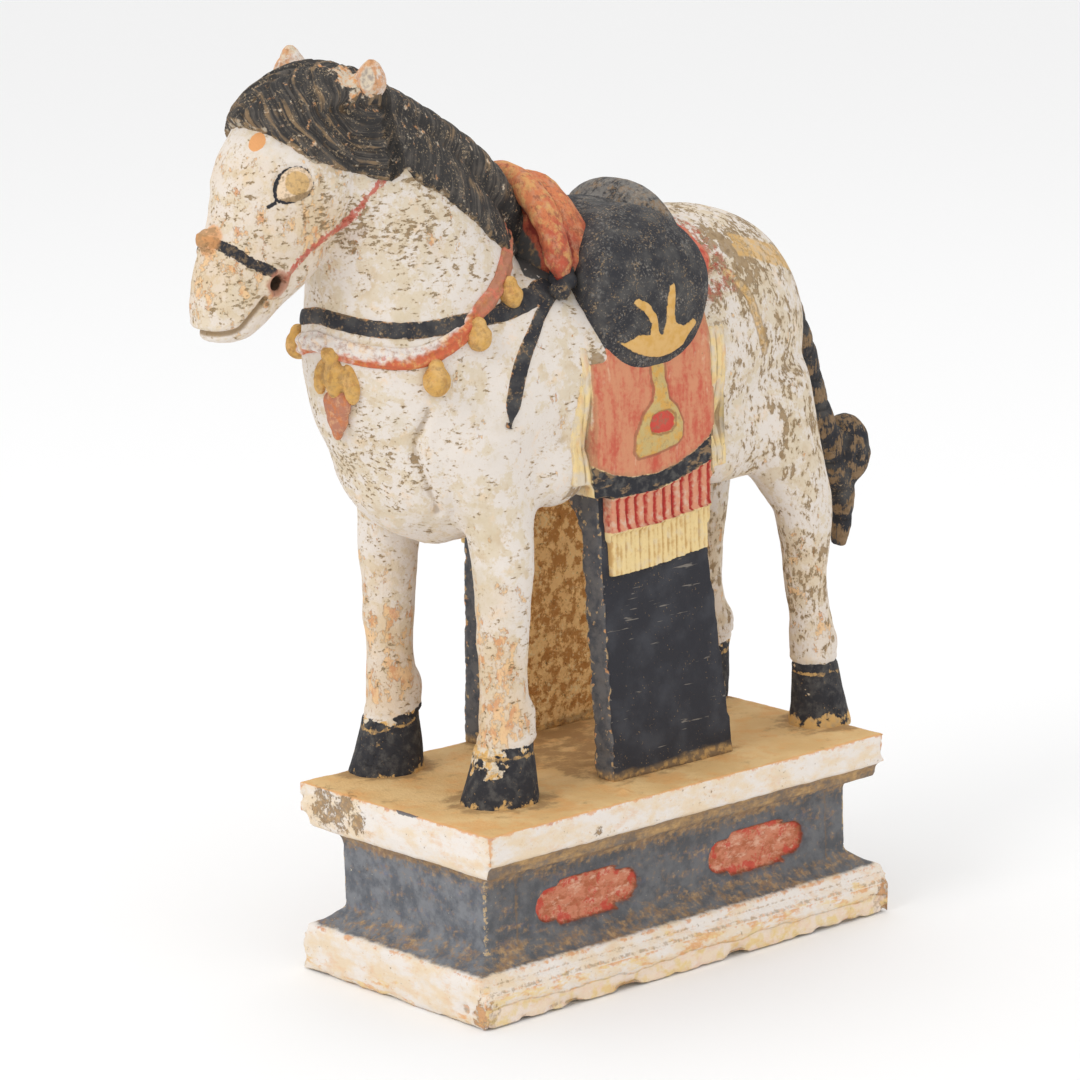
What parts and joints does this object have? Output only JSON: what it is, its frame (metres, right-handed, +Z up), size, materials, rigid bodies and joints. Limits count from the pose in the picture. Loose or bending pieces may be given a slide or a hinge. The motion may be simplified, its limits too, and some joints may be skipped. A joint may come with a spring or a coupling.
{
  "type": "painted pottery tomb horse figure",
  "caption": "Saddled, harnessed horse in cold-painted earthenware, standing over an arched belly support on a stepped rectangular plinth, hollow and open below.",
  "frame": {"origin": "on the floor, under the middle of the whole object's plan rectangle", "axes": "+Z up, the horse faces -Y, the horse's left side is +X"},
  "size_m": [0.1264, 0.3526, 0.3781],
  "materials": {
    "white_slip": "matt, flaking, with buff clay showing",
    "grey_blue_paint": "matt, brushed, worn"
  },
  "bodies": {
    "root": {"horse": "white_slip", "plinth": "grey_blue_paint"}
  },
  "joints": []
}
